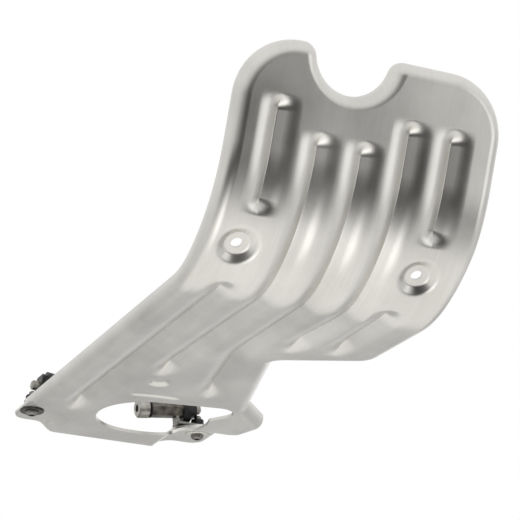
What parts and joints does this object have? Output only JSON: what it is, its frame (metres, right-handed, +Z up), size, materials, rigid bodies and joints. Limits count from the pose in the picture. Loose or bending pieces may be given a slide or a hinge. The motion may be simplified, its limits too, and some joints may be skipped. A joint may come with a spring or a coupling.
{
  "type": "motorcycle skid plate",
  "caption": "Pressed aluminium engine guard with a flat belly, an upswept front, long stiffening ribs, a drain opening and a bolted clamp at each rear corner.",
  "frame": {"origin": "midway between the two rear pad screws, on the plane of the flat belly's outer face", "axes": "+X to the motorcycle's side on which the drain opening is drawn out, +Y to the rear of the motorcycle, +Z up, to the inner side of the sheet"},
  "size_m": [0.1997, 0.4713, 0.1492],
  "materials": {
    "aluminium_sheet": "satin brushed",
    "plated_steel": "satin zinc plated",
    "black_steel": "satin black oxide"
  },
  "bodies": {
    "root": {"skid_plate": "aluminium_sheet", "pad_screw_right": "black_steel", "pad_screw_left": "black_steel", "pad_cup_right": "aluminium_sheet", "pad_cup_left": "aluminium_sheet", "clamp_bracket_right": "plated_steel", "clamp_bracket_left": "plated_steel", "base_plate_right": "black_steel", "base_plate_left": "black_steel", "pad_nut_right": "black_steel", "pad_nut_left": "black_steel", "clamp_bolt_right": "plated_steel", "clamp_bolt_left": "plated_steel", "bolt_washer_right": "black_steel", "bolt_washer_left": "black_steel", "hex_sleeve_right": "black_steel", "hex_sleeve_left": "black_steel", "jaw_plate_right": "black_steel", "jaw_plate_left": "black_steel", "jaw_block_right": "black_steel", "jaw_block_left": "black_steel"}
  },
  "joints": []
}
